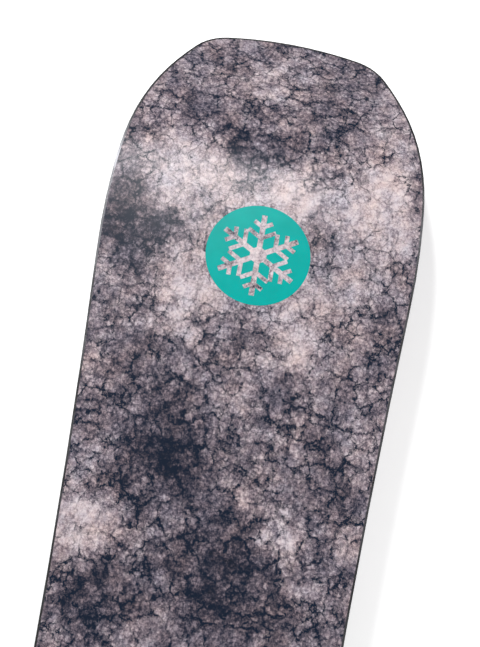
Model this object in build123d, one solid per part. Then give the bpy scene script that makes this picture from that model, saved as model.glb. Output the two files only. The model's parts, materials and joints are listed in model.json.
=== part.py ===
from build123d import *
import math
import os

os.makedirs("parts", exist_ok=True)

# A directional snowboard with two strap bindings, in millimetres.
# +X points to the nose, +Z up from the running base, and the origin is on the base,
# half-way between the two places where the board starts to bend up.

# ---- The board's plan: tangent arcs from the nose tip round to the tail tip.
# Each is (radius, heading at its end); the heading starts square to the board at 0 degrees,
# is 90 along the board and 180 at the tail tip. A negative radius curves inwards.
TIP_X = 825.0
NOSE_ARCS = [(311.0, 12.4), (48.7, 55.4), (294.0, 85.0), (674.0, 94.1)]
SIDECUT_ARC = (-8500.0, 86.2)
TAIL_SHOULDER_HEADING = 122.0
TAIL_ARCS = [(55.0, 168.0), (380.0, 180.0)]

# ---- The board's side view: flat between the contacts, then an arc and a straight run.
CONTACT_X = 633.0
NOSE_BEND = (300.0, 25.0)
TAIL_BEND = (260.0, 25.0)
TAPER_START_X = 420.0
RUN_OUT = 90.0

# ---- Layers, as heights over the base at the middle and at the two ends.
BASE_TOP = (1.3, 1.3)
EDGE_TOP = (1.9, 1.9)
LOWER_LAMINATE_TOP = (2.5, 2.5)
CORE_TOP = (7.4, 3.9)
UPPER_LAMINATE_TOP = (8.0, 4.5)
TOPSHEET_TOP = (8.6, 5.1)
EDGE_WIDTH = 2.0
SIDEWALL_THICKNESS = 6.0
TOP_INSET = 1.5
CORE_END_X = 600.0

# ---- The die-cut disc in the base.
INLAY_X = 573.0
INLAY_RADIUS = 49.2
CRYSTAL_ARM_LENGTH = 40.0
CRYSTAL_ARM_WIDTH = 5.0
CRYSTAL_BRANCH_WIDTH = 4.0
CRYSTAL_BRANCHES = [(17.0, 15.0), (28.0, 10.0)]
CRYSTAL_HUB_RADIUS = 9.0

# ---- Threaded inserts, in two columns of six for each foot.
INSERT_PITCH = 20.0
INSERT_ROWS = [-3, -2, -1, 0, 1, 2]
INSERT_COLUMN_Y = 20.0
INSERT_BARREL_RADIUS = 4.5
INSERT_FLANGE_RADIUS = 8.0
INSERT_FLANGE_THICKNESS = 1.2
THREAD_RADIUS = 3.0
THREAD_FLOOR = 3.2

# ---- Stance: where each binding's middle is and how far its toe turns from square.
FRONT_X = 235.0
REAR_X = -325.0
FRONT_ANGLE = 15.0
REAR_ANGLE = -6.0

# ---- Binding frame: +X to the toe, +Y to the foot's outer side, Z from the topsheet.
RAIL_HALF_WIDTH = 56.0
RAIL_THICKNESS = 6.0
HEEL_CENTRE_X = -75.0
TOE_X = 118.0
TOE_CORNER_RADIUS = 22.0
BASE_PAD_THICKNESS = 2.0
BASE_PAD_INSET = 1.0
FLOOR_TOP = 8.0
RAIL_SHAPE = [(120, 0), (120, 13), (107, 15), (98, 32), (70, 32), (56, 26), (30, 32), (10, 52),
              (-14, 52), (-26, 44), (-76, 44), (-92, 20), (-140, 20), (-140, 0)]
RAIL_ROUNDING = 5.0
SMALL_ROUNDING = 1.0
FOOTBED_TOP = 13.0
FOOTBED_FRONT_X = 66.0
TOE_RAMP_TOP = 18.0
TOE_RAMP_LIP = 14.0
TOE_RAMP_LIP_LENGTH = 9.0

DISC_RADIUS = 44.0
DISC_FLANGE_RADIUS = 50.0
DISC_FLANGE_BOTTOM = 5.0
SCREW_SPACING = 40.0
SCREW_HEAD_RADIUS = 6.0
SCREW_HEAD_HEIGHT = 2.6
SCREW_RADIUS = 2.95
SCREW_DEPTH = 5.0
SOCKET_RADIUS = 2.4
SOCKET_FLOOR = 1.0

HOOP_THICKNESS = 5.0
HOOP_TOP = 84.0
HOOP_SHAPE = [(-20, 12), (-20, 54), (-32, 68), (-60, 70), (-98, HOOP_TOP), (-142, HOOP_TOP),
              (-142, 60), (-108, 56), (-72, 14)]
HOOP_ROUNDING = 6.0
HOOP_SCREWS = [(-32.0, 27.0), (-58.0, 27.0)]

PIVOT = (-42.0, 56.0)
PIVOT_RADIUS = 4.0
PIVOT_HEAD = (7.0, 3.0)
PIVOT_CAP = (6.5, 2.0)
RUNNING_GAP = 0.05
FIT_GAP = 0.2
SIDE_GAP = 0.4
SHELL_CENTRE_X = -30.0
SHELL_OUTER = 55.0
SHELL_INNER = 50.5
SHELL_PAD_INNER = 47.5
SHELL_TOP = 236.0
EAR_RADIUS = 11.0
FORWARD_LEAN = 10.0
SHELL_SIDE = [(-6, 0), (9, 6), (2, 30), (-26, 66), (-42, 120), (-58, SHELL_TOP), (-90, SHELL_TOP),
              (-90, -20), (-50, -20), (-40, -10)]
SHELL_ROUNDING = 5.0
SHELL_FRONT_HEIGHT = 300.0
SHELL_TOP_CORNER = 34.0
WINDOW_SIZE = (62.0, 15.0)
WINDOWS = [(0, 186, 0), (-25, 176, 8), (25, 176, -8)]
CALF_PAD_SIZE = (120.0, 84.0)
CALF_PAD_CORNER = 20.0
CALF_PAD_MIDDLE_Z = 82.0
CALF_PAD_FRONT_X = -44.0

# ---- The forward-lean stop and its lever, drawn about the highback's pivot.
LEAN_PIN = (-109.0, 40.0)
LEAN_BLOCK_WIDTH = 30.0
LEAN_BODY_MIDDLE = (-94.0, 22.0)
LEAN_BODY_SIZE = (20.0, 52.0)
LEAN_LUG_MIDDLE = (-106.0, 40.0)
LEAN_LUG_SIZE = (14.0, 12.0)
LEAN_LUG_THICKNESS = 3.0
LEAN_LEVER_SHAPE = [(-111.5, 40), (-107, 40), (-106.6, 8), (-113, 3), (-116, 6)]

# ---- Straps, as radii and angles round the arch over the boot.
STRAP_INNER = 50.0
PAD_OUTER = 58.0
BAND_OUTER = 60.5
PAD_SPAN = (-72.0, 62.0)
PAD_HALF_LENGTH = 78.0
ARM_HALF_WIDTH = 11.0
ARM_END_ANGLE = 18.0
LADDER_HALF_WIDTH = 10.0
LADDER_END_ANGLE = 22.0
BAND_TIP_ROUNDING = 8.0
TOOTH_SPAN = (26.0, 86.0)
TOOTH_HALF_WIDTH = 6.0
TOOTH_HEIGHT = 1.0
TOOTH_ANGLE = 1.6
TOOTH_PITCH = 3.6
BUCKLE_PLATE = (61.9, 64.3)
BUCKLE_CHEEK_TOP = 74.0
BUCKLE_HALF_WIDTH = 15.0
CHEEK_THICKNESS = 3.0
BUCKLE_SPAN = (24.0, 58.0)
LEVER_PIVOT = (69.0, 32.0)
LEVER_BAR = (66.6, 71.4)
LEVER_END_ANGLE = 76.0
LEVER_HALF_WIDTH = 11.5
LEVER_TIP_RADIUS = 3.2
KNUCKLE_RADIUS = 4.2
PIN_RADIUS = 2.0
BOLT_SHOULDER_RADIUS = 6.5
BOLT_HEAD_RADIUS = 8.0
BOLT_HEAD_HEIGHT = 2.8

ANKLE_BOLT = (-2.0, 40.0)
ANKLE_TILT = 30.0
ANKLE_LEG = 46.0
ANKLE_PAD_WIDTH = 31.0
TOE_BOLT = (84.0, 20.0)
TOE_TILT = 34.0
TOE_LEG = 12.0
TOE_PAD_WIDTH = 22.0

# Longer than anything that a cut has to pass through.
BIG = 400.0
UPRIGHT = (Align.CENTER, Align.CENTER, Align.MIN)


# ---------------------------------------------------------------- the board

def arc_step(radius, start, end):
    """How far an arc moves back and out between two headings, in degrees."""
    start = math.radians(start)
    end = math.radians(end)
    return (radius * (math.cos(start) - math.cos(end)), radius * (math.sin(end) - math.sin(start)))


def plan_arcs():
    """All the arcs of one half of the plan. The tail's shoulder radius is the one that closes it."""
    arcs = NOSE_ARCS + [SIDECUT_ARC]
    half_width = 0.0
    heading = 0.0
    for radius, end in arcs:
        half_width += arc_step(radius, heading, end)[1]
        heading = end
    rest = 0.0
    tail_heading = TAIL_SHOULDER_HEADING
    for radius, end in TAIL_ARCS:
        rest += arc_step(radius, tail_heading, end)[1]
        tail_heading = end
    shoulder = -(half_width + rest) / arc_step(1.0, heading, TAIL_SHOULDER_HEADING)[1]
    return arcs + [(shoulder, TAIL_SHOULDER_HEADING)] + TAIL_ARCS


def plan_prism(inset):
    """A tall block with the board's plan, drawn in by the inset."""
    x = TIP_X - inset
    y = 0.0
    heading = 0.0
    edges = []
    for radius, end in plan_arcs():
        radius -= inset
        points = [(x, y)]
        for stop in ((heading + end) / 2, end):
            back, out = arc_step(radius, heading, stop)
            points.append((x - back, y + out))
        edges.append(ThreePointArc(*points))
        edges.append(ThreePointArc(*[(px, -py) for px, py in points]))
        x, y = points[-1]
        heading = end
    return Pos(0, 0, -BIG / 2) * extrude(make_face(edges), BIG)


def bend(contact_x, radius, angle, height):
    """One upturned end at a height over the base: its arc, then its straight run."""
    side = math.copysign(1.0, contact_x)
    centre_z = radius
    reach = radius - height
    middle = math.radians(angle / 2)
    whole = math.radians(angle)
    start = (contact_x, 0, height)
    halfway = (contact_x + side * reach * math.sin(middle), 0, centre_z - reach * math.cos(middle))
    top = (contact_x + side * reach * math.sin(whole), 0, centre_z - reach * math.cos(whole))
    end = (top[0] + side * RUN_OUT * math.cos(whole), 0, top[2] + RUN_OUT * math.sin(whole))
    return start, end, [ThreePointArc(start, halfway, top), Line(top, end)]


def level(heights):
    """The line of one layer's face, in the side view."""
    middle, ends = heights
    nose_start, nose_end, nose = bend(CONTACT_X, *NOSE_BEND, ends)
    tail_start, tail_end, tail = bend(-CONTACT_X, *TAIL_BEND, ends)
    flat = Polyline(tail_start, (-TAPER_START_X, 0, middle), (TAPER_START_X, 0, middle), nose_start)
    return tail_end, nose_end, nose + tail + list(flat.edges())


def layer(bottom, top):
    """A slab as wide as any part of the board between two levels."""
    tail_low, nose_low, lower = level(bottom)
    tail_high, nose_high, upper = level(top)
    ends = [Line(tail_low, tail_high), Line(nose_low, nose_high)]
    return extrude(make_face(lower + upper + ends), BIG / 2, both=True)


def middle_box():
    return Box(2 * CORE_END_X, BIG, BIG)


def crystal():
    """A six-armed snow crystal, as a flat shape."""
    arm = Pos(CRYSTAL_ARM_LENGTH / 2, 0) * Rectangle(CRYSTAL_ARM_LENGTH, CRYSTAL_ARM_WIDTH)
    for along, length in CRYSTAL_BRANCHES:
        for turn in (-60, 60):
            branch = Pos(length / 2, 0) * Rectangle(length, CRYSTAL_BRANCH_WIDTH)
            arm += Pos(along, 0) * Rot(0, 0, turn) * branch
    shape = RegularPolygon(CRYSTAL_HUB_RADIUS, 6)
    for turn in range(0, 360, 60):
        shape += Rot(0, 0, turn) * arm
    return shape


def base_inlay():
    disc = Circle(INLAY_RADIUS) - crystal()
    return Pos(INLAY_X, 0, 0) * extrude(disc, BASE_TOP[0])


def insert(x, y):
    """One flanged insert, open at the topsheet and closed below."""
    height = TOPSHEET_TOP[0] - LOWER_LAMINATE_TOP[0]
    flange = Cylinder(INSERT_FLANGE_RADIUS, INSERT_FLANGE_THICKNESS, align=UPRIGHT)
    barrel = Cylinder(INSERT_BARREL_RADIUS, height, align=UPRIGHT)
    return Pos(x, y, LOWER_LAMINATE_TOP[0]) * (flange + barrel)


def insert_places():
    for foot_x in (FRONT_X, REAR_X):
        for row in INSERT_ROWS:
            for y in (-INSERT_COLUMN_Y, INSERT_COLUMN_Y):
                yield foot_x + row * INSERT_PITCH, y


def build_board():
    outline = plan_prism(0)
    inside_edge = plan_prism(EDGE_WIDTH)
    inside_wall = plan_prism(SIDEWALL_THICKNESS)
    top_outline = plan_prism(TOP_INSET)
    inlay = base_inlay()
    plugs = [insert(x, y) for x, y in insert_places()]
    threads = []
    for x, y in insert_places():
        thread = Cylinder(THREAD_RADIUS, BIG, align=UPRIGHT)
        threads.append(Pos(x, y, THREAD_FLOOR) * thread)

    edge = (layer((0, 0), EDGE_TOP) & outline) - inside_edge
    core_layer = layer(LOWER_LAMINATE_TOP, CORE_TOP)
    full_core = core_layer & outline
    ends = full_core - middle_box()
    middle = full_core & middle_box()
    core = middle & inside_wall
    nose_half = Pos(BIG * 2, 0, 0) * Box(BIG * 4, BIG, BIG)
    return {
        "base_sheet": (layer((0, 0), BASE_TOP) & inside_edge) - inlay,
        "base_inlay": inlay,
        "steel_edge": edge,
        "lower_laminate": (layer(BASE_TOP, LOWER_LAMINATE_TOP) & outline) - edge,
        "wood_core": core - plugs,
        "nose_spacer": ends & nose_half,
        "tail_spacer": ends - nose_half,
        "sidewalls": middle - inside_wall,
        "upper_laminate": (layer(CORE_TOP, UPPER_LAMINATE_TOP) & top_outline) - plugs,
        "topsheet": (layer(UPPER_LAMINATE_TOP, TOPSHEET_TOP) & top_outline) - plugs,
        "inserts": Compound([plug - thread for plug, thread in zip(plugs, threads)]),
    }


# ---------------------------------------------------------------- one binding

def footprint(inset, front_x):
    """The baseplate's plan: straight sides and a round heel."""
    half = RAIL_HALF_WIDTH - inset
    length = front_x - HEEL_CENTRE_X
    plate = Pos(HEEL_CENTRE_X + length / 2, 0) * Rectangle(length, 2 * half)
    corners = plate.vertices().sort_by(Axis.X)[-2:]
    plate = fillet(corners, TOE_CORNER_RADIUS - min(inset, RAIL_THICKNESS))
    return plate + Pos(HEEL_CENTRE_X, 0) * Circle(half)


def raised(face, bottom, top):
    return Pos(0, 0, bottom) * extrude(face, top - bottom)


def side_block(points, radius):
    """A block with a side-view outline, as wide as the binding and more."""
    face = make_face(Polyline(*[(x, z) for x, z in points], close=True))
    face = fillet(face.vertices(), radius)
    return Rot(90, 0, 0) * extrude(face, BIG / 2, both=True)


def cross_rod(place, radius, y_from, y_to):
    """A round rod across the binding between two widths."""
    x, z = place
    rod = Cylinder(radius, y_to - y_from, align=UPRIGHT)
    return Pos(x, y_from, z) * Rot(-90, 0, 0) * rod


def cross_box(middle, size, width):
    """A box across the binding, from the middle and the size of its side view."""
    return Pos(middle[0], 0, middle[1]) * Box(size[0], width, size[1])


def both_sides(shape):
    return [shape, mirror(shape, Plane.XZ)]


def screw_places():
    half = SCREW_SPACING / 2
    return [(x, y) for x in (-half, half) for y in (-half, half)]


def base_pad():
    face = footprint(BASE_PAD_INSET, TOE_X - BASE_PAD_INSET) - Circle(DISC_FLANGE_RADIUS)
    return raised(face, 0, BASE_PAD_THICKNESS)


def baseplate():
    outer = footprint(0, TOE_X)
    ring = outer - footprint(RAIL_THICKNESS, TOE_X - RAIL_THICKNESS)
    rails = raised(ring, BASE_PAD_THICKNESS, BIG / 4) & side_block(RAIL_SHAPE, RAIL_ROUNDING)
    plate = raised(outer, BASE_PAD_THICKNESS, FLOOR_TOP) + rails
    plate -= Cylinder(DISC_RADIUS + FIT_GAP, BIG)
    plate -= raised(Circle(DISC_FLANGE_RADIUS + FIT_GAP), DISC_FLANGE_BOTTOM, FLOOR_TOP)
    for place in HOOP_SCREWS:
        plate -= cross_rod(place, THREAD_RADIUS, -BIG, BIG)
    for place in (ANKLE_BOLT, TOE_BOLT):
        plate -= cross_rod(place, PIVOT_RADIUS, -BIG, BIG)
    return plate


def disc():
    shape = raised(Circle(DISC_RADIUS), FIT_GAP, FLOOR_TOP)
    shape += raised(Circle(DISC_FLANGE_RADIUS), DISC_FLANGE_BOTTOM, FLOOR_TOP)
    for x, y in screw_places():
        shape -= Pos(x, y, 0) * Cylinder(SCREW_RADIUS + FIT_GAP, BIG)
        shape -= Pos(x, y, 0) * raised(Circle(SCREW_HEAD_RADIUS + FIT_GAP), DISC_FLANGE_BOTTOM, BIG)
    return shape


def disc_screws():
    screws = []
    for x, y in screw_places():
        seat = DISC_FLANGE_BOTTOM
        head = raised(Circle(SCREW_HEAD_RADIUS), seat, seat + SCREW_HEAD_HEIGHT)
        socket = raised(RegularPolygon(SOCKET_RADIUS, 6), seat + SOCKET_FLOOR, BIG)
        shank = raised(Circle(SCREW_RADIUS), -SCREW_DEPTH, seat)
        screws.append(Pos(x, y, 0) * (head + shank - socket))
    return Compound(screws)


def footbed():
    face = footprint(RAIL_THICKNESS + FIT_GAP, FOOTBED_FRONT_X)
    return raised(face, FLOOR_TOP, FOOTBED_TOP)


def toe_ramp():
    inner = TOE_X - RAIL_THICKNESS - FIT_GAP
    face = footprint(RAIL_THICKNESS + FIT_GAP, inner)
    start = FOOTBED_FRONT_X + FIT_GAP
    crest = inner - TOE_RAMP_LIP_LENGTH
    shape = [(start, 0), (inner, 0), (inner, TOE_RAMP_LIP), (crest, TOE_RAMP_TOP), (start, FOOTBED_TOP)]
    return raised(face, FLOOR_TOP, BIG / 4) & side_block(shape, SMALL_ROUNDING)


def heel_hoop():
    outer = footprint(-HOOP_THICKNESS, TOE_X)
    ring = outer - footprint(0, TOE_X + TOE_CORNER_RADIUS)
    hoop = raised(ring, 0, BIG / 4) & side_block(HOOP_SHAPE, HOOP_ROUNDING)
    for place in HOOP_SCREWS:
        hoop -= cross_rod(place, THREAD_RADIUS, -BIG, BIG)
    return hoop - cross_rod(PIVOT, PIVOT_RADIUS, -BIG, BIG)


def hoop_screws():
    screws = []
    outside = RAIL_HALF_WIDTH + HOOP_THICKNESS
    for place in HOOP_SCREWS:
        head = cross_rod(place, SCREW_HEAD_RADIUS, outside, outside + SCREW_HEAD_HEIGHT)
        socket = cross_rod(place, SOCKET_RADIUS, outside + SOCKET_FLOOR, BIG)
        inside = RAIL_HALF_WIDTH - RAIL_THICKNESS
        shank = cross_rod(place, THREAD_RADIUS - RUNNING_GAP, inside, outside)
        screws += both_sides(head + shank - socket)
    return Compound(screws)


def highback_pivots():
    outside = RAIL_HALF_WIDTH + HOOP_THICKNESS
    inside = SHELL_INNER - SIDE_GAP
    head = cross_rod(PIVOT, PIVOT_HEAD[0], outside, outside + PIVOT_HEAD[1])
    shank = cross_rod(PIVOT, PIVOT_RADIUS, inside, outside)
    cap = cross_rod(PIVOT, PIVOT_CAP[0], inside - PIVOT_CAP[1], inside)
    return Compound(both_sides(head + shank + cap))


def lean(shape):
    """Sets a piece drawn about the highback's pivot in its place, leaning forward."""
    return Pos(PIVOT[0], 0, PIVOT[1]) * Rot(0, FORWARD_LEAN, 0) * shape


def shell_ring(inner, outer):
    """A wall round the calf, seen from above: a half-circle with straight sides to the pivots."""
    sides = EAR_RADIUS - SHELL_CENTRE_X
    faces = []
    for radius in (outer, inner):
        legs = Pos(SHELL_CENTRE_X + sides / 2, 0) * Rectangle(sides, 2 * radius)
        faces.append(Pos(SHELL_CENTRE_X, 0) * Circle(radius) + legs)
    return Pos(0, 0, -BIG / 4) * extrude(faces[0] - faces[1], BIG)


def facing(face, height):
    """A block cut to an outline seen from the front, with its middle at a height."""
    return Pos(0, 0, height) * Rot(0, 90, 0) * extrude(face, BIG, both=True)


def highback():
    ear = cross_rod((0, 0), EAR_RADIUS, -BIG / 2, BIG / 2)
    side = side_block(SHELL_SIDE, SHELL_ROUNDING) + ear
    outline = RectangleRounded(SHELL_FRONT_HEIGHT, 2 * SHELL_OUTER, SHELL_TOP_CORNER)
    front = facing(outline, SHELL_TOP - SHELL_FRONT_HEIGHT / 2)
    shell = shell_ring(SHELL_INNER, SHELL_OUTER) & side & front
    window = Rot(0, -90, 0) * extrude(SlotOverall(*WINDOW_SIZE), BIG)
    for y, z, turn in WINDOWS:
        shell -= Pos(0, y, z) * Rot(turn, 0, 0) * window
    shell -= cross_rod((0, 0), PIVOT_RADIUS + RUNNING_GAP, -BIG, BIG)
    return lean(shell)


def highback_pad():
    front = facing(RectangleRounded(*CALF_PAD_SIZE, CALF_PAD_CORNER), CALF_PAD_MIDDLE_Z)
    behind = Pos(CALF_PAD_FRONT_X - BIG / 2, 0, 0) * Box(BIG, BIG, 2 * BIG)
    return lean(shell_ring(SHELL_PAD_INNER, SHELL_INNER) & front & behind)


def lean_block():
    """The stop that rests on the hoop, and the two lugs that carry its lever."""
    width = LEAN_BLOCK_WIDTH
    lugs = cross_box(LEAN_LUG_MIDDLE, LEAN_LUG_SIZE, width)
    lugs -= cross_box(LEAN_LUG_MIDDLE, LEAN_LUG_SIZE, width - 2 * LEAN_LUG_THICKNESS)
    block = cross_box(LEAN_BODY_MIDDLE, LEAN_BODY_SIZE, width) + lugs
    block -= Pos(SHELL_CENTRE_X, 0, 0) * Cylinder(SHELL_OUTER, BIG)
    block += cross_rod(LEAN_PIN, PIN_RADIUS, -width / 2, width / 2)
    below_hoop = Pos(-BIG / 2, 0, HOOP_TOP + SIDE_GAP - BIG / 2) * Box(BIG, BIG, BIG)
    return lean(block) - below_hoop


def lean_lever():
    knuckle = cross_rod(LEAN_PIN, KNUCKLE_RADIUS, -LEVER_HALF_WIDTH, LEVER_HALF_WIDTH)
    blade = side_block(LEAN_LEVER_SHAPE, SMALL_ROUNDING) & Box(BIG, 2 * LEVER_HALF_WIDTH, BIG)
    return lean(knuckle + blade - cross_rod(LEAN_PIN, PIN_RADIUS + RUNNING_GAP, -BIG, BIG))


# ---------------------------------------------------------------- straps
# A strap is drawn standing square over its bolts, whose axis is the Y axis, and then tipped
# forward. Angles go round its arch from the top, positive to the outer side.

def polar(leg, place):
    """The width and height of a place given by its radius and angle round the arch."""
    radius, angle = place
    a = math.radians(angle)
    return radius * math.sin(a), leg + radius * math.cos(a)


def arch(leg, inner, outer, start, end, half_width):
    """A length of the arch between two angles."""
    stops = (start, (start + end) / 2, end)
    low = [(0, *polar(leg, (inner, angle))) for angle in stops]
    high = [(0, *polar(leg, (outer, angle))) for angle in stops]
    sides = [Line(low[0], high[0]), Line(low[2], high[2])]
    face = make_face([ThreePointArc(*low), ThreePointArc(*high)] + sides)
    return extrude(face, half_width, both=True)


def strap_band(leg, side, inner_angle, half_width):
    """A flat band from its bolt up one leg and round the arch to a rounded tip at an angle."""
    middle = side * (PAD_OUTER + BAND_OUTER) / 2
    plate = Pos(0, middle, leg / 2) * Box(2 * half_width, BAND_OUTER - PAD_OUTER, leg)
    eye = cross_rod((0, 0), half_width, PAD_OUTER, BAND_OUTER)
    if side < 0:
        eye = mirror(eye, Plane.XZ)
    start, end = sorted((side * 90, side * inner_angle))
    wrap = arch(leg, PAD_OUTER, BAND_OUTER, start, end, half_width)
    shortest_edges = wrap.edges().sort_by(SortBy.LENGTH)[:4]
    wrap = fillet(shortest_edges.sort_by(Axis.Z)[-2:], BAND_TIP_ROUNDING)
    return plate + eye + wrap - cross_rod((0, 0), PIVOT_RADIUS + RUNNING_GAP, -BIG, BIG)


def strap_pad(leg, half_width):
    """The cushion under the arch, widest over the boot."""
    whole = arch(leg, STRAP_INNER, PAD_OUTER, *PAD_SPAN, half_width)
    return whole & extrude(Ellipse(half_width, PAD_HALF_LENGTH), BIG, both=True)


def strap_ladder(leg):
    """The toothed band that the buckle grips."""
    ladder = strap_band(leg, 1, LADDER_END_ANGLE, LADDER_HALF_WIDTH)
    first, last = TOOTH_SPAN
    root = BAND_OUTER - FIT_GAP
    crest = BAND_OUTER + TOOTH_HEIGHT
    for step in range(int((last - first) / TOOTH_PITCH)):
        angle = first + step * TOOTH_PITCH
        ladder += arch(leg, root, crest, angle, angle + TOOTH_ANGLE, TOOTH_HALF_WIDTH)
    return ladder


def long_rod(leg, place, radius, half_length):
    """A rod along X at a place on the arch."""
    y, z = polar(leg, place)
    return Pos(0, y, z) * Rot(0, 90, 0) * Cylinder(radius, 2 * half_length)


def strap_buckle(leg):
    """Two cheeks on the cushion, a bridge over the ladder and the lever's pin."""
    start, end = BUCKLE_SPAN
    cheeks = arch(leg, PAD_OUTER, BUCKLE_CHEEK_TOP, start, end, BUCKLE_HALF_WIDTH)
    cheeks -= Box(2 * (BUCKLE_HALF_WIDTH - CHEEK_THICKNESS), BIG, BIG)
    bridge = arch(leg, *BUCKLE_PLATE, start, end, BUCKLE_HALF_WIDTH)
    return cheeks + bridge + long_rod(leg, LEVER_PIVOT, PIN_RADIUS, BUCKLE_HALF_WIDTH)


def buckle_lever(leg):
    bar = arch(leg, *LEVER_BAR, LEVER_PIVOT[1], LEVER_END_ANGLE, LEVER_HALF_WIDTH)
    tip_place = (sum(LEVER_BAR) / 2, LEVER_END_ANGLE)
    tip = long_rod(leg, tip_place, LEVER_TIP_RADIUS, LEVER_HALF_WIDTH)
    knuckle = long_rod(leg, LEVER_PIVOT, KNUCKLE_RADIUS, LEVER_HALF_WIDTH)
    return bar + tip + knuckle - long_rod(leg, LEVER_PIVOT, PIN_RADIUS + RUNNING_GAP, BIG)


def tipped(shape, bolt, tilt):
    return Pos(bolt[0], 0, bolt[1]) * Rot(0, tilt, 0) * shape


def build_strap(name, bolt, tilt, leg, pad_half_width):
    pieces = {
        "pad": strap_pad(leg, pad_half_width),
        "arm": strap_band(leg, -1, ARM_END_ANGLE, ARM_HALF_WIDTH),
        "ladder": strap_ladder(leg),
        "buckle": strap_buckle(leg),
        "lever": buckle_lever(leg),
    }
    return {f"{name}_{piece}": tipped(shape, bolt, tilt) for piece, shape in pieces.items()}


def strap_bolts():
    bolts = []
    for place in (ANKLE_BOLT, TOE_BOLT):
        under_head = BAND_OUTER + SIDE_GAP
        shank = cross_rod(place, PIVOT_RADIUS, RAIL_HALF_WIDTH - RAIL_THICKNESS, under_head)
        shoulder = cross_rod(place, BOLT_SHOULDER_RADIUS, RAIL_HALF_WIDTH, PAD_OUTER - SIDE_GAP)
        head = cross_rod(place, BOLT_HEAD_RADIUS, under_head, under_head + BOLT_HEAD_HEIGHT)
        socket = cross_rod(place, SOCKET_RADIUS, under_head + SOCKET_FLOOR, BIG)
        bolts += both_sides(shank + shoulder + head - socket)
    return Compound(bolts)


def build_binding():
    """All the pieces of a left binding that turn with it to the stance angle."""
    parts = {
        "base_pad": base_pad(),
        "baseplate": baseplate(),
        "footbed": footbed(),
        "toe_ramp": toe_ramp(),
        "heel_hoop": heel_hoop(),
        "hoop_screws": hoop_screws(),
        "highback": highback(),
        "highback_pad": highback_pad(),
        "highback_pivots": highback_pivots(),
        "lean_block": lean_block(),
        "lean_lever": lean_lever(),
        "strap_bolts": strap_bolts(),
    }
    parts |= build_strap("ankle", ANKLE_BOLT, ANKLE_TILT, ANKLE_LEG, ANKLE_PAD_WIDTH)
    parts |= build_strap("toe", TOE_BOLT, TOE_TILT, TOE_LEG, TOE_PAD_WIDTH)
    return parts


def save(name, shape):
    export_step(shape, os.path.join("parts", name + ".step"))


def main():
    for name, shape in build_board().items():
        save(name, shape)
    pieces = build_binding()
    top = TOPSHEET_TOP[0]
    for foot, x, angle in (("front", FRONT_X, FRONT_ANGLE), ("rear", REAR_X, REAR_ANGLE)):
        for name, shape in pieces.items():
            if foot == "rear":
                shape = mirror(shape, Plane.XZ)
            save(f"{foot}_{name}", Pos(x, 0, top) * Rot(0, 0, angle - 90) * shape)
        save(f"{foot}_disc", Pos(x, 0, top) * disc())
        save(f"{foot}_disc_screws", Pos(x, 0, top) * disc_screws())


main()
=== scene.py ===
import json
import math

import bpy
import numpy as np
from mathutils import Matrix, Vector
from mathutils.bvhtree import BVHTree


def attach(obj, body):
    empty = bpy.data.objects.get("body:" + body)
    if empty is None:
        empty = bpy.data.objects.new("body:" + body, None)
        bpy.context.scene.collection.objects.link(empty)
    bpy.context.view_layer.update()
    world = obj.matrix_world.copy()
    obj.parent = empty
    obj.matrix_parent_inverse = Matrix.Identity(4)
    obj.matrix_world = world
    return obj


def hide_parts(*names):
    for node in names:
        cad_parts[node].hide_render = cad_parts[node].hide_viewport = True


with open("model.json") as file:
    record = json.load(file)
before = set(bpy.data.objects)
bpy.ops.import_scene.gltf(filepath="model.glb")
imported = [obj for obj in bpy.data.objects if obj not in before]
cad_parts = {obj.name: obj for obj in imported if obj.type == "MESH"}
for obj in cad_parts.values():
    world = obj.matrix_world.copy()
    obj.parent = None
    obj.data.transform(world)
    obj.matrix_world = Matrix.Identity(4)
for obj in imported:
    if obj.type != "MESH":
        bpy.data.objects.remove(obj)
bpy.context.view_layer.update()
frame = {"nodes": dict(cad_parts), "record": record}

# ---- Places in the row frame, in metres: +X to the nose, +Z up from the base.
INLAY_CENTRE = Vector((0.573, 0.0, 0.0))
TOPSHEET_HEIGHT = 0.0086

# ---- Each binding's place along the board, its toe's turn from square, and its outer side.
FEET = {"front": (0.235, 15.0, 1), "rear": (-0.325, -6.0, -1)}

# ---- Straps: the bolt's place, tilt, the arch's height over it, half width, and channel angles.
STRAPS = {
    "ankle": ((-0.002, 0.040), 30.0, 0.046, 0.031, (-56.0, -38.0, -20.0, -2.0, 14.0)),
    "toe": ((0.084, 0.020), 34.0, 0.012, 0.022, (-52.0, -30.0, -8.0, 12.0)),
}
ARCH_INNER = 0.0500
ARCH_OUTER = 0.0580
ARCH_MIDDLE = (ARCH_INNER + ARCH_OUTER) / 2
BAND_HALF = 0.0125

# ---- The cushions: how far round the arch, how they narrow and round off, and their sewn channels.
PAD_START = -71.0
PAD_END = 61.0
PAD_END_WIDTH = 0.66
PAD_NARROWS_FROM = 0.2
PAD_CORNER_POWER = 2.4
CHANNEL_DEPTH = 0.0016
CHANNEL_HALF = 0.0016
CROSS_CHANNEL_START = (0.011, 0.014)
BESIDE_BAND = BAND_HALF + 0.0012
BESIDE_BAND_SHARE = 0.8
OUTER_SIDE = (ARCH_INNER + 0.002, ARCH_OUTER - 0.003)
LOWEST_INNER_SIDE = ARCH_INNER - 0.0004

# ---- Where band and buckle press them flat: the soft edges of those areas, and their height.
BAND_SIDE = (BAND_HALF, BAND_HALF + 0.002)
BUCKLE_SIDE = (0.0152, 0.0175)
BUCKLE_START = (18.0, 22.0)
PRESSED_HEIGHT = ARCH_OUTER - 0.0002
UNPRESSED_RISE = 0.004

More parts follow.
